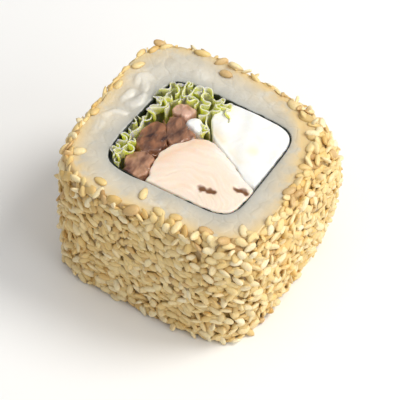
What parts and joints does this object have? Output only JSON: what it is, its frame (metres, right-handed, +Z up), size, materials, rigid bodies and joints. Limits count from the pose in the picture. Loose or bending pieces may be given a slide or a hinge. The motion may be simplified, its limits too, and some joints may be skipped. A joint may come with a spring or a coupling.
{
  "type": "shiitake chicken sushi roll slice",
  "caption": "Slice of an inside-out sushi roll: sesame-coated rice round a nori sheet, filled with chicken, cream cheese, shiitake and lettuce, standing on its lower cut.",
  "frame": {"origin": "on the surface that the slice stands on, under the middle of its box", "axes": "+Z up, from the lower cut to the upper one; +X along the wide way of the slice, to the right in the picture; +Y away from the viewer"},
  "size_m": [0.0434, 0.0398, 0.029],
  "materials": {
    "rice": "moist cooked rice, slightly see-through",
    "sesame": "lightly toasted hulled sesame, satin",
    "nori": "damp seaweed sheet, fine wrinkles",
    "cream_cheese": "smooth cut cream cheese",
    "chicken": "cooked breast meat with fine fibres and a few browned marks",
    "shiitake": "braised mushroom, wet gloss",
    "lettuce": "crisp thin leaf with pale ribs"
  },
  "bodies": {
    "root": {"rice_with_sesame": "rice", "nori": "nori", "cream_cheese": "cream_cheese", "cheese_dab": "cream_cheese", "chicken": "chicken", "shiitake_lower": "shiitake", "shiitake_middle": "shiitake", "shiitake_upper": "shiitake", "shiitake_small": "shiitake", "lettuce_outer": "lettuce", "lettuce_inner": "lettuce"}
  },
  "joints": []
}
